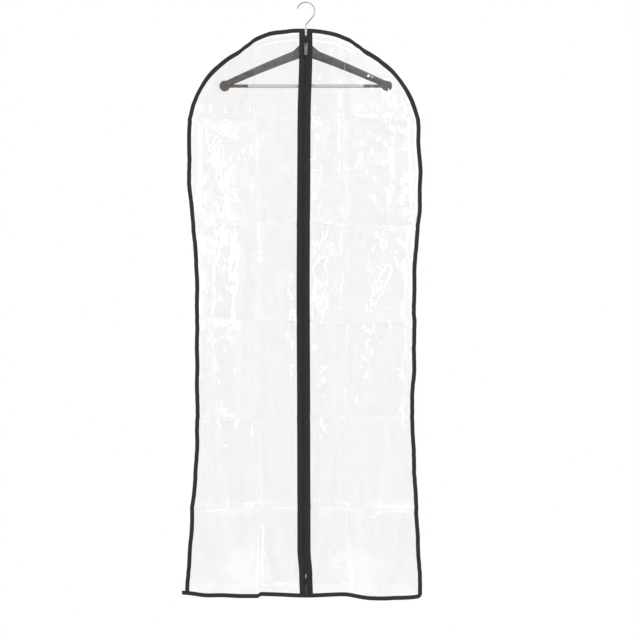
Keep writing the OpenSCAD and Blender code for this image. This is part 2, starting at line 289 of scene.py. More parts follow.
# %% Outline and hang
TOP = -0.062
LENGTH = 1.376
BOTTOM = TOP - LENGTH
ARCH = 0.245
SPRING = TOP - ARCH
CHEST = 0.285
WAIST = 0.017
POWER = 1.9
STRIP = 0.010
FILM_OFF = 0.00035
ZIP_STAND = 0.0077
RAMP = 0.021
FOLD_X = (-0.119, 0.098)
FOLD_Z = (-0.281, -0.535, -0.769, -1.002, -1.219)
CHAIN_TOP = -0.097
CHAIN_END = BOTTOM + 0.040


def ease(t):
    t = max(0.0, min(1.0, t))
    return t * t * (3 - 2 * t)


def between(a, b, t):
    return a + (b - a) * t


def half_width(z):
    s = max(0.0, min(1.0, (SPRING - z) / (SPRING - BOTTOM)))
    return CHEST - WAIST * max(0.0, math.sin(math.pi * s)) ** 1.3


def arch_height(x, d=0.0):
    """Height of the arch, moved in by d, above a point x."""
    a = CHEST - d
    return SPRING + (ARCH - d) * max(0.0, 1 - (min(abs(x), a) / a) ** POWER) ** (1 / POWER)


def edge_distance(x, z):
    if z > SPRING:
        r = ((abs(x) / CHEST) ** POWER + ((z - SPRING) / ARCH) ** POWER) ** (1 / POWER)
        side = math.hypot(x, z - SPRING) * (1 / max(r, 1e-6) - 1)
    else:
        side = half_width(z) - abs(x)
    return min(side, z - BOTTOM)


def along_line(stops, at):
    """A smooth line through a few (where, how much) stops."""
    if at <= stops[0][0]:
        return stops[0][1]
    for (a, low), (b, high) in zip(stops, stops[1:]):
        if at <= b:
            return between(low, high, ease((at - a) / (b - a)))
    return stops[-1][1]


ZIP_DRIFT = ((-1.430, 0.0012), (-1.384, 0.0), (-1.320, -0.0045), (-1.00, -0.0052), (-0.70, -0.0065),
             (-0.30, -0.0045), (-0.113, 0.0))
LEFT_SWAY = ((-1.430, -0.0065), (-1.25, -0.002), (-1.09, 0.003), (-0.87, 0.0), (-0.63, 0.003), (-0.54, -0.001),
             (-0.44, -0.0060), (-0.31, -0.002))
RIGHT_SWAY = ((-1.430, -0.003), (-1.25, -0.005), (-1.10, -0.006), (-0.98, -0.007), (-0.87, -0.001),
              (-0.63, -0.004), (-0.50, 0.002), (-0.43, 0.0008), (-0.31, -0.008))
ARCH_SAG = ((-0.285, 0.0), (-0.240, 0.004), (-0.197, -0.001), (-0.161, -0.004), (-0.144, 0.000), (-0.120, 0.006),
            (-0.090, 0.0065), (-0.045, 0.002), (0.0, 0.0), (0.070, 0.000), (0.105, -0.002), (0.127, -0.007),
            (0.146, -0.011), (0.187, -0.0070), (0.220, -0.0035), (0.250, -0.004), (0.285, 0.0))
HEM_DROP = ((-0.300, 0.008), (-0.235, 0.001), (-0.115, -0.0015), (-0.107, 0.0038), (0.0, 0.0), (0.090, 0.003),
            (0.165, -0.0070), (0.225, -0.0062), (0.285, -0.002))


def hang(x, y, z):
    """Where a point of the flat, even bag ends up once it hangs."""
    share = ease(abs(x) / 0.26)
    side = 1 if x > 0 else -1
    sway = along_line(RIGHT_SWAY if side > 0 else LEFT_SWAY, z)
    wave = side * (0.0006 * math.sin(64 * z + 2 * side) + 0.0006 * noise.noise(Vector((side, 0, z * 70))))
    kink = 0.0
    for n, fold in enumerate(FOLD_Z):
        kink += (-1) ** n * 0.0013 * math.exp(-abs(z - fold) / 0.008)
    below = ease((TOP - 0.035 - z) / 0.02)
    drift = along_line(ZIP_DRIFT, z) + 0.45 * kink * ease((z + 1.37) / 0.02) * ease((-0.15 - z) / 0.02)
    dx = between(drift, sway + wave + side * kink, share)
    over = ease((z - SPRING + 0.03) / (ARCH * 0.55))
    dz = over * (along_line(ARCH_SAG, x) + share * 0.0006 * noise.noise(Vector((x * 60, 3, 0))))
    hem = ease((BOTTOM + 0.12 - z) / 0.12)
    dz += hem * (along_line(HEM_DROP, x) + 0.0005 * math.sin(90 * x) * share)
    return Vector((x + dx * max(share, below), y, z + dz))


print("width at chest", 2 * half_width(SPRING), "at waist", 2 * min(half_width(-0.1 * k) for k in range(4, 14)))

# %% [markdown]
# ## Helpers for making pieces
# Operators act on whatever is selected, so everything is deselected before a primitive is added.
# `shaped_grid` adds a grid with its own UV map and moves each vertex to where `place(u, v)` says,
# which suits film, tape and folded cloth. `finish_piece` names a piece, gives it its material and
# says which body carries it and which solid it stands for.

# %% Piece helpers


def clear_selection():
    if bpy.context.object and bpy.context.object.mode != "OBJECT":
        bpy.ops.object.mode_set(mode="OBJECT")
    bpy.ops.object.select_all(action="DESELECT")


def pick(obj):
    clear_selection()
    obj.select_set(True)
    bpy.context.view_layer.objects.active = obj
    return obj


def settle(obj):
    """Puts the object's place, turn and size into its mesh."""
    pick(obj)
    bpy.ops.object.transform_apply(location=True, rotation=True, scale=True)
    return obj


def apply_all(obj):
    pick(obj)
    for modifier in list(obj.modifiers):
        bpy.ops.object.modifier_apply(modifier=modifier.name)
    return obj


def merge_and_face_out(obj, distance=1e-6):
    pick(obj)
    bpy.ops.object.mode_set(mode="EDIT")
    bpy.ops.mesh.select_all(action="SELECT")
    bpy.ops.mesh.remove_doubles(threshold=distance)
    bpy.ops.mesh.normals_make_consistent(inside=False)
    bpy.ops.object.mode_set(mode="OBJECT")
    return obj


def closed_tube(obj, distance):
    """Joins the two long edges of a grid that was rolled into a tube, and closes its ends."""
    merge_and_face_out(obj, distance)
    bpy.ops.object.mode_set(mode="EDIT")
    bpy.ops.mesh.select_all(action="DESELECT")
    bpy.ops.mesh.select_non_manifold()
    bpy.ops.mesh.fill_holes(sides=0)
    bpy.ops.mesh.select_all(action="SELECT")
    bpy.ops.mesh.normals_make_consistent(inside=False)
    bpy.ops.object.mode_set(mode="OBJECT")
    return obj


def rounded(obj, width, segments=2, angle=40):
    """Bevels the sharp edges."""
    rim = obj.modifiers.new("rim", "BEVEL")
    rim.width = width
    rim.segments = segments
    rim.limit_method = "ANGLE"
    rim.angle_limit = math.radians(angle)
    return apply_all(obj)


def block(middle, size):
    """A cube of the given size, put at its place, to be shaped further."""
    clear_selection()
    bpy.ops.mesh.primitive_cube_add(size=1, location=middle)
    bpy.context.object.scale = size
    return settle(bpy.context.object)


def joined(parts):
    clear_selection()
    for part in parts:
        part.select_set(True)
    bpy.context.view_layer.objects.active = parts[0]
    bpy.ops.object.join()
    return bpy.context.object


def shaped_grid(across, along, place):
    """A grid of across by along faces, each vertex moved to place(u, v)."""
    clear_selection()
    bpy.ops.mesh.primitive_grid_add(x_subdivisions=across, y_subdivisions=along, size=1, calc_uvs=True)
    obj = bpy.context.object
    for vertex in obj.data.vertices:
        vertex.co = place(vertex.co.x + 0.5, vertex.co.y + 0.5)
    obj.data.update()
    return obj


def smooth(obj, angle=None):
    pick(obj)
    if angle is None:
        bpy.ops.object.shade_smooth()
    else:
        bpy.ops.object.shade_smooth_by_angle(angle=math.radians(angle))
    return obj


def finish_piece(obj, name, body, material, slot, *nodes):
    obj.name = name
    obj.data.name = name
    obj.data.materials.clear()
    obj.data.materials.append(material)
    if body:
        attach(obj, body)
    if nodes:
        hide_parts(*nodes)
    print(name, len(obj.data.polygons), "faces")
    return obj


def repeat(obj, count, place):
    """Copies a small shape count times into one mesh; place(k, co) says where a point of copy k goes."""
    base = [vertex.co.copy() for vertex in obj.data.vertices]
    faces = [list(face.vertices) for face in obj.data.polygons]
    points = [place(k, co) for k in range(count) for co in base]
    shapes = [[i + k * len(base) for i in face] for k in range(count) for face in faces]
    bpy.data.objects.remove(obj)
    mesh = bpy.data.meshes.new("row")
    mesh.from_pydata(points, [], shapes)
    made = bpy.data.objects.new("row", mesh)
    scene.collection.objects.link(made)
    return made


# %% [markdown]
# ## Film
# The film is soft plastic sheet about a tenth of a millimetre thick. It lets nearly all light
# through, adds a faint milky veil, and mirrors the lights where it bends away. So it is a mix of
# clear, mirror and matt. Fine crumples are a bump; the folds and bigger creases are in the mesh.
# The film also whitens along the old packing folds. Its UV map holds each point's place on the flat
# bag in metres, so that the white lines run along the folds of the mesh.

# %% Film material


def film_paint(name, shift):
    p = Paint(name)
    moved = p.node("ShaderNodeMapping", {}, {"Vector": p.place(), "Location": (shift, shift * 0.7, shift * 1.3)})
    flat = p.node("ShaderNodeMapping", {}, {"Vector": moved, "Scale": (1, 0.15, 1)})
    cells = {"Vector": flat, "Randomness": 1.0}
    wide = p.node("ShaderNodeTexVoronoi", {"feature": "DISTANCE_TO_EDGE"}, {**cells, "Scale": 24.0})
    fine = p.node("ShaderNodeTexVoronoi", {"feature": "DISTANCE_TO_EDGE"}, {**cells, "Scale": 66.0})
    patches = p.ramp(p.noise(flat, 4.6, 3.0), (0.46, grey(0)), (0.64, grey(1)))
    crumple = (wide * 3.0).clamped() * 0.7 + (fine * 3.0).clamped() * patches * 0.25
    normal = p.bump(crumple + p.noise(flat, 9.0, 2.0), 0.45, 0.0014)
    x, z, _ = p.parts(p.place(uv=True))
    lines = [x - fold - (z * 9.0 + n).wave() * 0.004 for n, fold in enumerate(FOLD_X)]
    lines += [z - fold - (x * 11.0 + 2 * n).wave() * 0.005 for n, fold in enumerate(FOLD_Z)]
    folds = sum((1.0 - off.size() * 700.0).clamped() for off in lines)
    folds = folds.clamped() * p.ramp(p.noise(flat, 22.0, 3.0), (0.36, grey(0.25)), (0.60, grey(1)))
    facing = p.node("ShaderNodeLayerWeight", {}, {"Blend": 0.30, "Normal": normal}, out="Facing")
    mirror = p.node("ShaderNodeBsdfGlossy", {}, {"Color": (1.0, 1.0, 1.0, 1), "Roughness": 0.065,
                                                 "Normal": normal})
    clear = p.node("ShaderNodeBsdfTransparent", {}, {"Color": (0.994, 0.994, 0.994, 1)})
    veil = p.node("ShaderNodeBsdfDiffuse", {}, {"Color": (0.82, 0.82, 0.83, 1), "Normal": normal})
    shine = (facing ** 2.5 * 0.60 + 0.032).clamped()
    glass = p.node("ShaderNodeMixShader", {}, {0: shine, 1: clear, 2: mirror})
    haze = (patches * 0.008 + 0.014 + facing ** 3.0 * 0.12 + folds * 0.20).clamped()
    return p.done(p.node("ShaderNodeMixShader", {}, {0: haze, 1: glass, 2: veil}))


front_film_paint = film_paint("clear_film_front", 0.0)
back_film_paint = film_paint("clear_film_back", 3.1)

# %% [markdown]
# ## Film sheets
# A grid is laid over each panel, column by column, and every point is given its depth: the swell of
# the bag, then the sharp packing folds, the long drapes, crumples from handling, and small puckers
# where the cloth edge gathers the film. All of it fades out at the seams, where the film is held.

# %% Film shape


def fold_height(x, z):
    """The old packing folds: thin ridges and valleys about 3 mm high."""
    height = 0.0
    for n, fold in enumerate(FOLD_X):
        bend = 0.004 * math.sin(9 * z + n)
        height += (-1) ** n * 0.0030 * math.exp(-abs(x - fold - bend) / 0.010)
    for n, fold in enumerate(FOLD_Z):
        bend = 0.005 * math.sin(11 * x + 2 * n)
        height += (-1) ** n * 0.0036 * math.exp(-abs(z - fold - bend) / 0.012)
    return height


def crumple_zone(x, z, front):
    """How crumpled the film is: most at one shoulder, some along the zip, little lower down."""
    calm = ease((-0.80 - z) / 0.30)
    if not front:
        return 0.55 - 0.37 * calm
    shoulder = math.exp(-((x - 0.17) / 0.09) ** 2 - ((z + 0.30) / 0.17) ** 2)
    band = math.exp(-((x - 0.10 - 0.35 * (z + 0.45)) / 0.05) ** 2) * ease((-0.25 - z) / 0.1) * ease((z + 0.95) / 0.2)
    seam = math.exp(-((x + 0.035) / 0.018) ** 2) * ease((-0.22 - z) / 0.1) * ease((z + 0.9) / 0.2)
    return 0.30 - 0.19 * calm + 1.0 * shoulder + 0.75 * band + 0.55 * seam


def crumple_height(x, z, seed):
    """Sharp-edged crumples: distances between the cells of a random pattern."""
    total = 0.0
    for scale, amount in ((13.0, 0.0062), (27.0, 0.0028), (55.0, 0.0010)):
        where = Vector((x * scale, z * scale * 0.8, seed))
        where += 0.35 * Vector((noise.noise(where * 0.7), noise.noise(where * 0.7 + Vector((5, 5, 5))), 0))
        near = noise.voronoi(where)[0]
        total += amount * (min(near[1] - near[0], 0.55) - 0.2)
    return total


def crease_lines(seed, count, front):
    """Random straight creases: middle, direction, half length, width and height of each."""
    pick_one = random.Random(seed)
    lines = []
    for k in range(count):
        if front and k % 3 == 0:
            x, z = pick_one.gauss(0.15, 0.06), pick_one.gauss(-0.33, 0.14)
        else:
            x, z = pick_one.uniform(-0.25, 0.25), pick_one.uniform(-1.38, -0.15)
        turn = pick_one.uniform(0, math.pi)
        lines.append((x, z, math.cos(turn), math.sin(turn), pick_one.uniform(0.03, 0.12),
                      pick_one.uniform(0.006, 0.014), pick_one.choice((-1, 1)) * pick_one.uniform(0.0010, 0.0026)))
    return lines


CREASES = {True: crease_lines(5, 66, True), False: crease_lines(9, 40, False)}


def crease_height(x, z, front):
    total = 0.0
    calm = 1 - 0.45 * ease((-0.85 - z) / 0.25)
    for cx, cz, dx, dz, half, wide, high in CREASES[front]:
        along = ((x - cx) * dx + (z - cz) * dz) / half
        if abs(along) < 1:
            off = abs((z - cz) * dx - (x - cx) * dz)
            if off < 6 * wide:
                total += high * math.exp(-off / wide) * (1 - along * along) ** 2
    return total * calm


def drape_height(x, z, seed):
    low = ease((-0.30 - z) / 0.5)
    soft = 0.0045 * noise.noise(Vector((x * 9 + seed, z * 1.6, seed)))
    return soft * (0.5 + 0.8 * low) + 0.0018 * math.sin(46 * x + 3 * math.sin(3 * z + seed)) * low


def pucker_height(x, z, seed):
    """Little gathers that stand square to the cloth edge and die out inwards."""
    d = edge_distance(x, z) - STRIP
    along = z if z < SPRING else math.atan2(x, z - SPRING) * 0.26
    if z - BOTTOM < 0.03:
        along = x
    wave = noise.noise(Vector((along * 75, seed, 0))) + 0.6 * noise.noise(Vector((along * 160, seed, 4)))
    return 0.0016 * wave * math.exp(-max(0.0, d) / 0.016)


def film_depth(x, z, front, seed):
    d = edge_distance(x, z)
    held = ease((d - STRIP) / 0.018)
    if front:
        across = max(0.0, abs(x) - 0.016) / (half_width(z) - 0.016)
        y = -FILM_OFF - ZIP_STAND * ease((d - STRIP) / RAMP)
        y -= 0.014 * math.sin(math.pi * min(1.0, across)) * ease((d - STRIP) / 0.15)
        held *= ease((abs(x) - 0.0165) / 0.022)
    else:
        q = max(0.0, min(1.0, (d - STRIP) / 0.23))
        y = FILM_OFF + 0.036 * (1 - (1 - q) ** 2)
    ripples = fold_height(x, z) + crumple_height(x, z, seed) * crumple_zone(x, z, front)
    ripples += drape_height(x, z, seed) + pucker_height(x, z, seed) + crease_height(x, z, front)
    y += (-1 if front else 1) * ripples * held
    if front and z > -0.25 and d > 0.035 and abs(x) > 0.02:
        return min(y, -0.0072)
    if not front and d > 0.035:
        return max(y, 0.0080)
    return y


def film_flat(u, v, x_in, side):
    """u runs from the zip (or the middle) out to the side seam, v from the hem up to the arch."""
    tuck = 0.0055
    u = math.sin(0.5 * math.pi * u) ** 0.92 if u < 1 else 1.0
    flat_x = between(x_in, CHEST - tuck, u)
    high = arch_height(flat_x, tuck) if flat_x < CHEST - tuck else SPRING
    z = between(BOTTOM + tuck, high, v)
    return side * between(x_in, half_width(z) - tuck, u), z


# %% [markdown]
# ### Laying out the three sheets
# The back is one sheet and the front is two, one on each side of the zip. The flat place of every
# point goes into the UV map, and the sheet is then given a thin wall, so that it has a real inside
# and outside and its rim is closed. A cloth simulation would need metres of stiff film to crease
# by themselves, so the creases are given here.

# %% Film sheets


def film_sheet(side, front, seed, columns, rows):
    def flat(u, v):
        if front:
            return film_flat(u, v, 0.010, side)
        return film_flat(abs(2 * u - 1), v, 0.0, 1 if u > 0.5 else -1)

    def place(u, v):
        x, z = flat(u, v)
        return hang(x, film_depth(x, z, front, seed), z)

    obj = shaped_grid(columns, rows, place)
    for corner in obj.data.uv_layers[0].data:
        corner.uv = flat(*corner.uv)
    pick(obj)
    wall = obj.modifiers.new("wall", "SOLIDIFY")
    wall.thickness = 0.00025
    wall.offset = 0
    apply_all(obj)
    merge_and_face_out(obj, 1e-7)
    return smooth(obj)


back_film = film_sheet(1, False, 11.0, 110, 260)
left_film = film_sheet(-1, True, 4.0, 78, 330)
right_film = film_sheet(1, True, 7.0, 78, 330)

# %% [markdown]
# ### How the film would open
# The front film is held along the arch, the side and the hem, and is free only along the zip. When
# the bag is open it bends out between them like an eye. open_share gives the share of that bend at
# each point; the pieces here are not bent by it.

# %% Opening share


def open_share(x, z):
    down = ease((arch_height(x) - 0.035 - z) / 0.42)
    up = ease((z - CHAIN_END - 0.018) / 0.34)
    side = ease((half_width(z) - 0.010 - abs(x)) / 0.07)
    return down * up * side


def opens(obj):
    """Puts the piece's place into its mesh and reckons open_share at each point; the shares are not used."""
    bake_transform(obj)
    shares = [open_share(vertex.co.x, vertex.co.z) for vertex in obj.data.vertices]
    return obj


def finish_pair(left, right, name, material, slot, node):
    """The same piece on both front halves, named left_ and right_."""
    for half, obj in (("left", left), ("right", right)):
        finish_piece(obj, f"{half}_{name}", None, material, slot, f"{half}_{node}")
        opens(obj)


finish_piece(back_film, "back_film", "bag", back_film_paint, "clear_film", "back_panel")
finish_pair(left_film, right_film, "front_film", front_film_paint, "clear_film", "front_panel")

# %% [markdown]
# ## Cloth edge
# The edge is a strip of black woven tape folded over both films and sewn down. It has a rounded
# outer fold, two flat leaves and a shallow dip along the sewing line. A closed section of seventeen
# points is carried along the outline, and a fine plain weave comes from its UV map.

# %% Woven tape material


def woven_paint(name, colour, threads_along, threads_across, depth, fuzz):
    p = Paint(name)
    uv = p.place(uv=True)
    u, v, _ = p.parts(uv)
    warp = (u * (threads_across * math.pi)).wave()
    weft = (v * (threads_along * math.pi)).wave()
    over = warp.size() * 0.5 + weft.size() * 0.5 + warp * weft * 0.35
    where = p.place()
    lint = p.noise(where, 420.0, 4.0, 0.6)
    worn = p.noise(where, 14.0, 4.0, 0.6)
    # painted shade: the low parts of the weave are darkened as if shadowed, mixed with random lint tone
    weave_shade_and_lint = p.mix((over * 0.55 + lint * 0.3).clamped(), tuple(c * 0.5 for c in colour) + (1,),
                  tuple(c * 1.35 for c in colour) + (1,))
    tone = p.mix((worn * 0.4).clamped(), weave_shade_and_lint, tuple(c * 1.6 for c in colour) + (1,))
    normal = p.bump(over + lint * fuzz, 0.6, depth)
    rough = (0.66 + lint * 0.22).clamped()
    return p.done(p.surface({"Base Color": tone, "Roughness": rough, "Normal": normal,
                             "Specular IOR Level": 0.22, "Sheen Weight": 0.03, "Sheen Roughness": 0.5}))


binding_paint = woven_paint("binding_cloth", (0.021, 0.020, 0.0205), 2400, 14, 0.0003, 0.7)

# %% [markdown]
# ### Two strips
# On the real bag one strip starts beside the hook, goes down the right side, round the corner and
# along the hem, and its cut end stands out past the left side. The other goes down the left side
# and tucks under it. Each is one grid rolled into a tube, so it has no seam along its length.

# %% Edge strips


def outline_right():
    """Points along the right strip, from the hook gap round to the left tab."""
    points = []
    steps = 150
    q = 2 / POWER
    t0 = math.asin((0.0025 / CHEST) ** (1 / q))
    for i in range(steps + 1):
        t = between(t0, math.pi / 2, i / steps)
        points.append(Vector((CHEST * math.sin(t) ** q, 0, SPRING + ARCH * max(0.0, math.cos(t)) ** q)))
    side_steps = 260
    for i in range(1, side_steps + 1):
        z = between(SPRING, BOTTOM + 0.013, i / side_steps)
        points.append(Vector((half_width(z), 0, z)))
    for i in range(1, 11):
        a = -math.pi / 2 * i / 10
        points.append(Vector((CHEST - 0.013 + 0.013 * math.cos(a), 0, BOTTOM + 0.013 + 0.013 * math.sin(a))))
    for i in range(1, 161):
        points.append(Vector((between(CHEST - 0.013, -CHEST - 0.008, i / 160), 0, BOTTOM)))
    return points


def outline_left():
    points = [Vector((-p.x, 0, p.z)) for p in outline_right()]
    return [p for p in points[:411] if p.z > BOTTOM + STRIP + 0.0004] + [
        Vector((-half_width(BOTTOM + STRIP), 0, BOTTOM + STRIP + 0.0003))]


def inward(points, i, side):
    a = points[max(0, i - 1)]
    b = points[min(len(points) - 1, i + 1)]
    along = (b - a).normalized()
    return Vector((along.z, 0, -along.x)) * side


SECTION = [(0.0000, 0.00), (0.0003, 0.62), (0.0011, 0.93), (0.0030, 1.0), (0.0052, 0.98), (0.0066, 0.80),
           (0.0080, 0.98), (0.0094, 0.95), (0.0100, 0.72)]


def section_point(share):
    """A point of the folded section, by share of its 17 corners: (distance in from the edge, depth)."""
    ring = [(d, -h) for d, h in SECTION] + [(d, h) for d, h in reversed(SECTION[1:])]
    return ring[int(round(share * len(ring))) % len(ring)]


def edge_strip(points, side, seed):
    count = len(points) - 1
    corners = 2 * len(SECTION) - 1

    def place(u, v):
        i = int(round(v * count))
        d, h = section_point(u)
        base = points[i] + inward(points, i, side) * d
        puff = 0.00112 + 0.00010 * noise.noise(Vector((i * 0.35, seed, h)))
        centre = hang(base.x, 0, base.z)
        lean = 0.0007 * noise.noise(Vector((i * 0.09, seed, 9)))
        return Vector((centre.x, h * puff + lean * (d / STRIP), centre.z))

    obj = shaped_grid(corners, count, place)
    return smooth(closed_tube(obj, 1e-6), 50)


right_points = outline_right()
left_points = outline_left()
right_edge = edge_strip(right_points, 1, 3.0)
left_edge = edge_strip(left_points, -1, 8.0)
finish_piece(right_edge, "right_edge_strip", "bag", binding_paint, "binding_cloth", "right_binding")
finish_piece(left_edge, "left_edge_strip", "bag", binding_paint, "binding_cloth", "left_binding")
STRIP_RUN = sum((b - a).length for a, b in zip(right_points, right_points[1:]))
print("right strip runs", round(STRIP_RUN, 3), "m")

# %% [markdown]
# ### Thread along the edge
# A lockstitch shows as short dashes with a small gap between them, on both faces. One dash is a
# flattened bead; it is copied along the sewing line.

# %% Thread material and edge stitching


def thread_paint(name, colour):
    p = Paint(name)
    where = p.place((1, 1, 1))
    fibre = p.noise(where, 900.0, 3.0, 0.6)
    strand = p.noise(p.place((1, 1, 8)), 240.0, 2.0)
    tone = p.mix((fibre * 0.8).clamped(), tuple(c * 0.6 for c in colour) + (1,),
                 tuple(c * 1.7 for c in colour) + (1,))
    return p.done(p.surface({"Base Color": tone, "Roughness": (0.5 + strand * 0.2).clamped(),
                             "Normal": p.bump(fibre + strand, 0.5, 0.0001), "Specular IOR Level": 0.4}))


black_thread = thread_paint("black_thread", (0.024, 0.0235, 0.024))


def dash(length, width, height):
    """One stitch: a low six-sided bead with its ends drawn in."""
    clear_selection()
    bpy.ops.mesh.primitive_cylinder_add(vertices=6, radius=0.5, depth=1, rotation=(math.radians(90), 0, 0),
                                        end_fill_type="NGON")
    obj = bpy.context.object
    settle(obj)
    bpy.ops.object.mode_set(mode="EDIT")
    bpy.ops.mesh.select_all(action="DESELECT")
    work = bmesh.from_edit_mesh(obj.data)
    for face in work.faces:
        face.select = abs(face.normal.y) > 0.9
    bmesh.update_edit_mesh(obj.data)
    bpy.ops.mesh.inset(thickness=0.16, depth=0.18)
    bpy.ops.object.mode_set(mode="OBJECT")
    for vertex in obj.data.vertices:
        vertex.co = Vector((vertex.co.x * width, vertex.co.y * length / 1.36, vertex.co.z * height))
    return obj


def walk(points):
    """Distance along a line of points at each point."""
    run = [0.0]
    for a, b in zip(points, points[1:]):
        run.append(run[-1] + (b - a).length)
    return run


def edge_stitches(points, side):
    d = 0.0066
    line = [points[i] + inward(points, i, side) * d for i in range(len(points))]
    run = walk(line)
    pitch = 0.0036
    count = int((run[-1] - 0.004) / pitch)
    spots = []
    j = 0
    for k in range(count):
        s = 0.003 + k * pitch
        while j < len(run) - 2 and run[j + 1] < s:
            j += 1
        t = (s - run[j]) / max(run[j + 1] - run[j], 1e-9)
        spots.append((line[j].lerp(line[j + 1], t), (line[j + 1] - line[j]).normalized()))

    def place(k, co):
        centre, along = spots[k // 2]
        face = -1 if k % 2 == 0 else 1
        flat = centre + along * co.y + Vector((along.z, 0, -along.x)) * co.x
        hung = hang(flat.x, 0, flat.z)
        return Vector((hung.x, face * (0.00098 + co.z), hung.z))

    return smooth(repeat(dash(0.0027, 0.00055, 0.0005), 2 * count, place), 60)


right_thread = edge_stitches(right_points, 1)
left_thread = edge_stitches(left_points, -1)
finish_piece(right_thread, "right_edge_thread", "bag", black_thread, "thread", "right_binding_stitching")
finish_piece(left_thread, "left_edge_thread", "bag", black_thread, "thread", "left_binding_stitching")

# %% [markdown]
# ## Zip
# The zip is two ribbed tapes, each with a nylon coil sewn along its inner edge. Everything on it is
# placed by its distance from the middle, its height above the tape and its height on the bag, so
# tapes, coils and thread stay together when the halves part.

# %% Zip place


def zip_y(z):
    """Front face of the film under the tape."""
    d = min(TOP - z, z - BOTTOM)
    return -FILM_OFF - ZIP_STAND * ease((d - STRIP) / RAMP)


def on_zip(x, out, z):
    """x across from the middle, out in front of the film, z the height."""
    return hang(x, zip_y(z) - out, z)


TAPE_BACK = 0.0004
TAPE_FRONT = 0.0010
TAPE_IN = 0.0006
SLIDER_STANDS = (-0.1030, -1.3890)


def tape_in(z):
    """Where a tape's inner edge runs: shut, but parted round the hook's stem and the slider's wedge."""
    apart = max(ease((0.0125 - abs(z - stand)) / 0.003) for stand in SLIDER_STANDS)
    return between(between(0.00006, TAPE_IN, apart), 0.0022, ease((z + 0.084) / 0.007))


# %% [markdown]
# ### Tapes
# A zip tape is woven with thick cords that show as ribs. The section is drawn once, with a step up
# for each rib, and is carried from the hem to the arch. The inner edges touch when the zip is shut,
# and part round the hook's stem and where the slider's wedge pushes between them.

# %% Zip tapes
TAPE_SECTION = [0.0006, 0.0011, 0.0036, 0.0041, 0.0049, 0.0054, 0.0072, 0.0078, 0.0086, 0.0092, 0.0112, 0.0118,
                0.0126, 0.0132, 0.0150, 0.0155, 0.0160]
RIBS = (0.0, 1.0, 1.0, 0.0, 0.0, 1.0, 1.0, 0.0, 0.0, 1.0, 1.0, 0.0, 0.0, 1.0, 1.0, 0.6, 0.0)
zip_tape_paint = woven_paint("zip_tape_weave", (0.019, 0.0185, 0.0195), 1900, 26, 0.0003, 0.5)


def zip_tape(side):
    front = [(x, TAPE_FRONT + 0.00020 * rib) for x, rib in zip(TAPE_SECTION, RIBS)]
    back = [(x, TAPE_BACK) for x in reversed(TAPE_SECTION)]
    ring = front + back
    tape_top = TOP - STRIP + 0.0012
    tape_end = BOTTOM + STRIP - 0.0012

    def place(u, v):
        x, out = ring[int(round(u * len(ring))) % len(ring)]
        z = between(tape_end, tape_top, v)
        x = max(x, tape_in(z)) if x > TAPE_IN else tape_in(z)
        edge = ease((x - 0.010) / 0.006)
        out += edge * 0.00035 * noise.noise(Vector((z * 60, side, 2)))
        return on_zip(side * x, out, z)

    return smooth(closed_tube(shaped_grid(len(ring), 420, place), 1e-7), 35)


left_tape = zip_tape(-1)
right_tape = zip_tape(1)
finish_pair(left_tape, right_tape, "tape", zip_tape_paint, "zip_tape", "zip_tape")

# %% [markdown]
# ### Coils
# Each coil is one nylon wire wound flat, with a small head on every turn that locks behind the next
# one. One turn is a short bent rod. Hundreds of turns make the coil, so a turn has only a few faces.
# The two coils sit half a turn apart, so their heads pass between each other in the middle.

# %% Coils


def nylon_paint():
    p = Paint("black_nylon")
    where = p.place()
    haze = p.noise(where, 160.0, 3.0)
    tone = p.mix((haze * 0.9).clamped(), (0.006, 0.006, 0.007, 1), (0.018, 0.018, 0.019, 1))
    return p.done(p.surface({"Base Color": tone, "Roughness": (0.28 + haze * 0.2).clamped(),
                             "Normal": p.bump(haze, 0.3, 0.0001), "Specular IOR Level": 0.5}))


nylon = nylon_paint()
COIL_PITCH = 0.0023
COIL_PARTING = 0.0013
HEAD_X = -0.0008
TURN_DEPTH = 0.0043
COIL_COUNT = int((CHAIN_TOP - 0.0135 - CHAIN_END) / COIL_PITCH) + 5


def coil_turn():
    """A rod of six sides through five stations: root, rise, run, head and the head's tip."""
    stations = [(0.0035, 0.0012, 0.00042), (0.0031, 0.0019, 0.00044), (0.0014, 0.0021, 0.00044),
                (0.0000, 0.0019, 0.00062), (-0.0008, 0.0015, 0.00040)]
    clear_selection()
    bpy.ops.mesh.primitive_cylinder_add(vertices=6, radius=1, depth=1, end_fill_type="NGON")
    obj = bpy.context.object
    bpy.ops.object.mode_set(mode="EDIT")
    work = bmesh.from_edit_mesh(obj.data)
    sides = [e for e in work.edges if abs((e.verts[0].co - e.verts[1].co).z) > 0.5]
    bmesh.ops.subdivide_edges(work, edges=sides, cuts=3, use_grid_fill=False)
    bmesh.update_edit_mesh(obj.data)
    bpy.ops.object.mode_set(mode="OBJECT")
    for vertex in obj.data.vertices:
        k = min(4, max(0, int(round((vertex.co.z + 0.5) * 4))))
        x, out, r = stations[k]
        turn = math.atan2(vertex.co.y, vertex.co.x)
        vertex.co = Vector((x, out + r * math.cos(turn), r * 1.15 * math.sin(turn)))
    return obj


def zip_coil(side, phase):
    def place(k, co):
        z = CHAIN_END + (k + phase) * COIL_PITCH + co.z + 0.0009 * (co.x - 0.001) / 0.003
        apart = max(ease(1 - abs(z - stand - 0.0045) / 0.009) for stand in SLIDER_STANDS)
        give = COIL_PARTING - 0.0008 * (co.x - HEAD_X) / TURN_DEPTH
        return on_zip(side * (co.x + give * apart), co.y, z)

    obj = repeat(coil_turn(), COIL_COUNT, place)
    merge_and_face_out(obj, 1e-8)
    return smooth(obj, 60)


left_coil = zip_coil(-1, 0.25)
right_coil = zip_coil(1, 0.75)
finish_pair(left_coil, right_coil, "coil", nylon, "zip_coil", "zip_coil")

# %% [markdown]
# ### Thread on the tapes
# One row of stitches holds the coil to its tape, and two rows sew the tape to the film. They use
# the same bead as the edge, set out in rows by their distance from the middle.

# %% Zip stitching


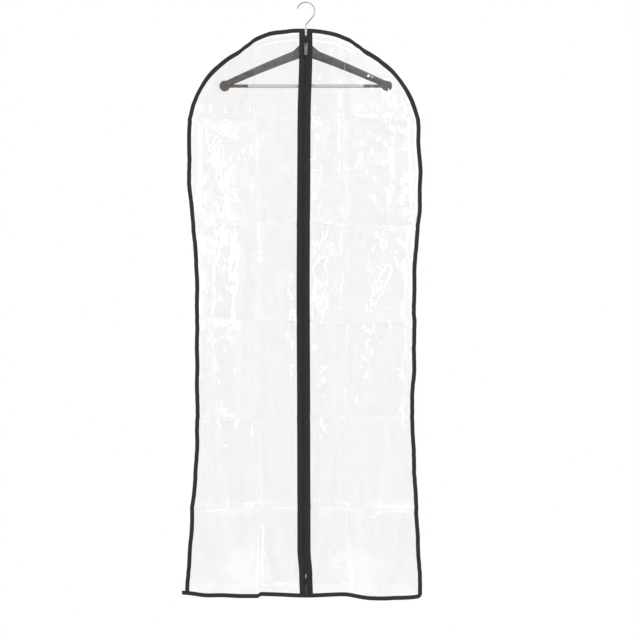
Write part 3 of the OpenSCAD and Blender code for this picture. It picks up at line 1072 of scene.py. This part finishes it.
def zip_stitches(side):
    rows = (0.0045, 0.0102, 0.0141)
    pitch = 0.0034
    low = BOTTOM + STRIP + 0.001
    count = int((TOP - STRIP - 0.001 - low) / pitch)

    def place(k, co):
        x = rows[k % 3] + co.x
        z = low + (k // 3 + 0.5) * pitch + co.y
        return on_zip(side * x, TAPE_FRONT + 0.00004 + co.z, z)

    obj = repeat(dash(0.0025, 0.0005, 0.00045), 3 * count, place)
    merge_and_face_out(obj, 1e-8)
    return smooth(obj, 60)


left_seam = zip_stitches(-1)
right_seam = zip_stitches(1)
finish_pair(left_seam, right_seam, "tape_thread", black_thread, "thread", "zip_stitching")

# %% [markdown]
# ## Slider, bail and puller
# The slider is a small casting: two plates joined by a wedge, with turned-in flanges that squeeze the
# coils together. A loop on its back carries the puller. The slider and loop are black nickel and the
# puller dull nickel, each with a cloudy worn tone.

# %% Metal materials


def metal_paint(name, colour, rough, scratch, wear):
    p = Paint(name)
    where = p.place()
    cloud = p.noise(where, 90.0, 4.0, 0.6)
    fine = p.noise(p.place((1, 1, 0.12)), 1400.0, 2.0)
    tone = p.mix((cloud * wear).clamped(), tuple(colour) + (1,), tuple(c * 0.55 for c in colour) + (1,))
    return p.done(p.surface({"Base Color": tone, "Metallic": 1.0,
                             "Roughness": (rough + cloud * 0.16 + fine * scratch).clamped(),
                             "Normal": p.bump(fine + cloud, 0.15, 0.00008)}))


gunmetal = metal_paint("black_nickel", (0.10, 0.10, 0.105), 0.22, 0.10, 0.6)
dark_crimp = metal_paint("black_crimp", (0.035, 0.035, 0.037), 0.44, 0.10, 0.5)
nickel = metal_paint("dull_nickel", (0.30, 0.30, 0.31), 0.26, 0.10, 0.7)
chrome = metal_paint("bright_chrome", (0.52, 0.52, 0.53), 0.24, 0.05, 0.35)
steel = metal_paint("plain_steel", (0.55, 0.55, 0.57), 0.22, 0.12, 0.6)

# %% [markdown]
# ### Body
# The two plates start as blocks. Each is narrowed towards the tail, the front one is crowned, and
# the rims are rounded. Flanges at the sides and the wedge at the top are joined on.

# %% Slider body
SLIDE_TOP = -0.097
SLIDE_LOW = -0.110
PLATE_BACK = -0.0082
PLATE_FRONT = -0.01095
PIN = Vector((0, -0.01405, -0.1015))


def slider_plate(y_back, y_front, half, crown):
    """A plate with a narrowed tail and a bevelled rim."""
    middle = Vector((0, (y_back + y_front) / 2, (SLIDE_TOP + SLIDE_LOW) / 2))
    obj = block(middle, (2 * half, abs(y_front - y_back), SLIDE_TOP - SLIDE_LOW))
    bpy.ops.object.mode_set(mode="EDIT")
    bpy.ops.mesh.select_all(action="SELECT")
    bpy.ops.mesh.subdivide(number_cuts=6)
    bpy.ops.object.mode_set(mode="OBJECT")
    for vertex in obj.data.vertices:
        t = (SLIDE_TOP - vertex.co.z) / (SLIDE_TOP - SLIDE_LOW)
        vertex.co.x *= 1 - 0.16 * (ease((t - 0.30) / 0.30) + ease((t - 0.86) / 0.14) + ease((0.12 - t) / 0.12))
        if crown and vertex.co.y < middle.y:
            vertex.co.y -= 0.00035 * (1 - (vertex.co.x / half) ** 2)
    return rounded(obj, 0.00028, 2, 30)


def slider_body():
    parts = [slider_plate(PLATE_FRONT, PLATE_FRONT - 0.0014, 0.0056, True),
             slider_plate(PLATE_BACK + 0.0012, PLATE_BACK, 0.0056, False)]
    for side in (-1, 1):
        flange = block((side * 0.0049, (PLATE_FRONT - 0.0096) / 2, -0.1036), (0.0009, 0.0014, 0.0110))
        for vertex in flange.data.vertices:
            if vertex.co.z < -0.1036:
                vertex.co.x -= side * 0.0006
        parts.append(rounded(flange, 0.00022))
    clear_selection()
    bpy.ops.mesh.primitive_cylinder_add(vertices=12, radius=0.5, depth=1, location=(0, -0.0095, SLIDE_TOP - 0.0020),
                                        rotation=(math.radians(90), 0, 0))
    wedge = bpy.context.object
    wedge.scale = (0.0009, 0.0040, 0.0030)
    parts.append(settle(wedge))
    return smooth(joined(parts), 40)


slider = slider_body()
finish_piece(slider, "slider", "slider", gunmetal, "slider_metal", "slider_body")

# %% [markdown]
# ### Loop and puller
# The loop is a ring round the pin's line with a foot at each end. The puller is stamped from flat
# metal with an eye at the top and a round hole at the tail, and its pin turns in the loop.

# %% Bail and puller


def bail_loop():
    """A strap bent over the pin: a ring spun round the pin's line, with two feet on the plate."""
    clear_selection()
    bpy.ops.mesh.primitive_torus_add(major_segments=32, minor_segments=10, major_radius=0.00137,
                                     minor_radius=0.0005, location=PIN, rotation=(0, math.radians(90), 0))
    ring = bpy.context.object
    ring.scale = (1, 1, 1.5)
    settle(ring)
    feet = [rounded(block((0, PLATE_FRONT - 0.0020, PIN.z + end * 0.0021), (0.0017, 0.0020, 0.0022)), 0.0004, 3)
            for end in (-1, 1)]
    return smooth(joined([ring] + feet), 40)


finish_piece(bail_loop(), "slider_loop", "slider", gunmetal, "slider_metal", "slider_bail")


def puller_tab():
    """A flat tab with an eye at the top and a round hole at the tail, filled between its outlines and given its
    thickness and pin.
    """
    outline = [(-0.0027, 0.0004), (0.0027, 0.0004), (0.0027, -0.006), (0.0033, -0.009), (0.0034, -0.022),
               (0.0030, -0.0250), (0.0018, -0.0262), (-0.0018, -0.0262), (-0.0030, -0.0250), (-0.0034, -0.022),
               (-0.0033, -0.009), (-0.0027, -0.006)]
    mesh = bpy.data.meshes.new("tab")
    work = bmesh.new()
    outer = [work.verts.new((x, 0, z)) for x, z in outline]
    eye = [work.verts.new((x, 0, z)) for x, z in ((-0.0013, -0.0012), (0.0013, -0.0012), (0.0013, -0.0060),
                                                 (0.0006, -0.0068), (-0.0006, -0.0068), (-0.0013, -0.0060))]
    hole = [work.verts.new((0.0013 * math.cos(a * math.pi / 8), 0, -0.0215 + 0.0013 * math.sin(a * math.pi / 8)))
            for a in range(16)]
    edges = []
    for ring in (outer, eye, hole):
        edges += [work.edges.new((ring[i], ring[(i + 1) % len(ring)])) for i in range(len(ring))]
    bmesh.ops.triangle_fill(work, edges=edges, use_beauty=True, normal=(0, 1, 0))
    work.to_mesh(mesh)
    work.free()
    obj = bpy.data.objects.new("tab", mesh)
    scene.collection.objects.link(obj)
    pick(obj)
    wall = obj.modifiers.new("wall", "SOLIDIFY")
    wall.thickness = 0.0011
    wall.offset = 0
    rounded(obj, 0.00025, 2, 30)
    obj.location = PIN
    settle(obj)
    clear_selection()
    bpy.ops.mesh.primitive_cylinder_add(vertices=24, radius=0.0008, depth=0.0054, location=PIN,
                                        rotation=(0, math.radians(90), 0))
    pin = settle(bpy.context.object)
    return smooth(merge_and_face_out(joined([obj, pin]), 1e-8), 35)


finish_piece(puller_tab(), "puller_tab", "puller", nickel, "slider_metal", "puller")

# %% [markdown]
# ### Stops
# A metal crimp on each tape ends the row at the top, and one staple across both tapes ends it at the
# bottom. Each is a small block, dished by an inset, with its rim rounded where it was pressed.

# %% Stops


def crimp(low, high):
    """A pressed block between two corners of a box."""
    obj = block([(a + b) / 2 for a, b in zip(low, high)], [b - a for a, b in zip(low, high)])
    bpy.ops.object.mode_set(mode="EDIT")
    work = bmesh.from_edit_mesh(obj.data)
    for face in work.faces:
        face.select = face.normal.y < -0.9
    bmesh.update_edit_mesh(obj.data)
    bpy.ops.mesh.inset(thickness=0.00055, depth=-0.00012)
    bpy.ops.object.mode_set(mode="OBJECT")
    return rounded(obj, 0.00032, 3)


low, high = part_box("top_stops")
left_crimp = crimp(low, (-0.0001, high[1], high[2]))
right_crimp = crimp((0.0001, low[1], low[2]), high)
crimps = smooth(joined([left_crimp, right_crimp]), 45)
finish_piece(crimps, "top_crimps", "bag", dark_crimp, "stop_metal", "top_stops")
staple = smooth(crimp(*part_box("bottom_stop")), 45)
finish_piece(staple, "bottom_staple", "bag", dark_crimp, "stop_metal", "bottom_stop")

# %% [markdown]
# ## Hanger
# The hanger is dark stained wood with rounded edges, a clear sleeve on its trouser bar and a chrome
# hook that turns in a ferrule. The wood's grain is a noise stretched along the arms, with pores in it.

# %% Wood material


def wood_paint(name, light, dark, along):
    p = Paint(name)
    stretch = (3, 40, 40) if along == "x" else (40, 40, 3)
    where = p.place(stretch)
    bent = p.noise(where, 1.1, 4.0, 0.6, 1.2)
    rings = ((bent * 26.0).wave() * 0.5 + 0.5)
    pores = p.noise(p.place((30, 300, 300)), 1.6, 3.0, 0.7)
    tone = p.mix((rings * 0.65 + pores * 0.35).clamped(), dark + (1,), light + (1,))
    normal = p.bump(rings * 0.4 + pores, 0.25, 0.0002)
    return p.done(p.surface({"Base Color": tone, "Roughness": (0.30 + pores * 0.2).clamped(), "Normal": normal,
                             "Coat Weight": 0.35, "Coat Roughness": 0.15}))


yoke_wood = wood_paint("stained_wood", (0.075, 0.052, 0.038), (0.022, 0.015, 0.012), "x")

# %% [markdown]
# ### Yoke
# The arms fall away from the neck to the two bosses that hold the bar. They are sawn from a board,
# so a flat grid between the upper and lower edge is given the board's thickness, and its edge is
# rounded as a cutter would leave it. The bosses are turned.

# %% Yoke
YOKE_TOP = TOP - 0.034
BAR_X = 0.196
BAR_Z = YOKE_TOP - 0.105


def arm_fall(x):
    return 0.084 * min(1.0, x / BAR_X) ** 1.1


def arm_top(x):
    return YOKE_TOP - 0.010 * ease((x - 0.010) / 0.024) - arm_fall(x)


def arm_under(x):
    return YOKE_TOP - 0.010 - arm_fall(x) - between(0.024, 0.016, x / BAR_X)


def yoke():
    """Two arms from one grid, given a thickness and a round edge, with a turned boss at each end."""
    def place(u, v):
        x = between(-BAR_X, BAR_X, u)
        return Vector((x, 0, between(arm_under(abs(x)), arm_top(abs(x)), v)))

    arms = shaped_grid(112, 4, place)
    wall = arms.modifiers.new("wall", "SOLIDIFY")
    wall.thickness = 0.011
    wall.offset = 0
    parts = [rounded(arms, 0.0034, 4, 50)]
    for side in (-1, 1):
        clear_selection()
        bpy.ops.mesh.primitive_cylinder_add(vertices=48, radius=0.013, depth=0.012, end_fill_type="NGON",
                                            location=(side * BAR_X, 0, BAR_Z), rotation=(math.radians(90), 0, 0))
        parts.append(rounded(settle(bpy.context.object), 0.0026, 4))
    return smooth(merge_and_face_out(joined(parts), 1e-7), 40)


finish_piece(yoke(), "hanger_arms", "bag", yoke_wood, "hanger_wood", "hanger_yoke")

# %% [markdown]
# ### Hook
# The hook is one length of wire: a bow over the rail, a straight run back to the middle, a bend and
# the stem. A ring of points is carried along that line, so the wire has no seams, and the free end
# is drawn in to a rounded tip. The stem's lower end is upset into a small head that holds it.

# %% Hook
WIRE = 0.0016
BOW = Vector((0, 0, WIRE - 0.0215))


def hook_line():
    """Middle of the wire, from the free tip down to the foot of the stem."""
    line = []
    for i in range(57):
        a = math.radians(between(160, -40, i / 56))
        line.append(BOW + 0.0215 * Vector((math.cos(a), 0, math.sin(a))))
    lean = math.radians(40)
    bend_x = 0.006 * (1 - math.cos(lean))
    run = (line[-1].x - bend_x) / math.sin(lean)
    join = line[-1] - run * Vector((math.sin(lean), 0, math.cos(lean)))
    line += [line[-1].lerp(join, i / 10) for i in range(1, 10)]
    turn = join + 0.006 * Vector((math.cos(lean), 0, -math.sin(lean)))
    for i in range(15):
        a = math.radians(between(140, 180, i / 14))
        line.append(turn + 0.006 * Vector((math.cos(a), 0, math.sin(a))))
    foot = YOKE_TOP - 0.0205
    line += [Vector((0, 0, between(line[-1].z, foot, i / 12))) for i in range(1, 13)]
    return line


def hook_wire():
    line = hook_line()
    first = (line[0] - line[1]).normalized()
    tip = [(line[0] + first * WIRE * math.sin(a), WIRE * math.cos(a)) for a in (1.5, 1.25, 0.9, 0.45)]
    path = tip + [(point, WIRE) for point in line]
    head = ((0.0001, 0.0032), (0.0001, 0.0040), (0.0008, 0.0040), (0.0014, 0.0034), (0.0014, 0.0001))
    path += [(line[-1] - Vector((0, 0, drop)), r) for drop, r in head]
    sides = 18

    def place(u, v):
        k = int(round(v * (len(path) - 1)))
        centre, r = path[k]
        a = path[max(0, k - 1)][0]
        b = path[min(len(path) - 1, k + 1)][0]
        along = (b - a).normalized() if (b - a).length > 1e-6 else Vector((0, 0, -1))
        side = Vector((along.z, 0, -along.x))
        turn = 2 * math.pi * int(round(u * sides)) / sides
        return centre + r * (math.cos(turn) * side + math.sin(turn) * Vector((0, 1, 0)))

    return smooth(closed_tube(shaped_grid(sides, len(path) - 1, place), 2e-6), 50)


finish_piece(hook_wire(), "wire_hook", "hook", chrome, "hook_wire", "hook")

# %% [markdown]
# ### Pieces kept from the CAD model
# The ferrule, the bar, its clear sleeve and the screws are plain turned shapes, and their solids are
# already right. They only get better materials.

# %% CAD nodes that stay
sleeve_paint = Paint("clear_tube")
tube_where = sleeve_paint.place()
tube_cloud = sleeve_paint.noise(tube_where, 60.0, 3.0)
tube_rings = (sleeve_paint.parts(tube_where)[0] * 1400.0).wave()
sleeve_paint.done(sleeve_paint.surface({
    "Base Color": sleeve_paint.mix(tube_cloud, (0.80, 0.83, 0.86, 1), (0.92, 0.94, 0.96, 1)),
    "Roughness": (0.12 + tube_cloud * 0.15).clamped(), "Alpha": (0.30 + tube_cloud * 0.15).clamped(),
    "Normal": sleeve_paint.bump(tube_rings, 0.3, 0.0001)}))
bar_wood = wood_paint("bar_wood", (0.085, 0.058, 0.042), (0.026, 0.018, 0.013), "x")


def repaint(node, material):
    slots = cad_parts[node].material_slots
    for place in slots:
        place.material = material
    print(node, len(slots), "slot repainted")


repaint("neck_ferrule", chrome)
repaint("trouser_bar", bar_wood)
repaint("bar_grip_sleeve", sleeve_paint.material)
repaint("bar_screws", steel)
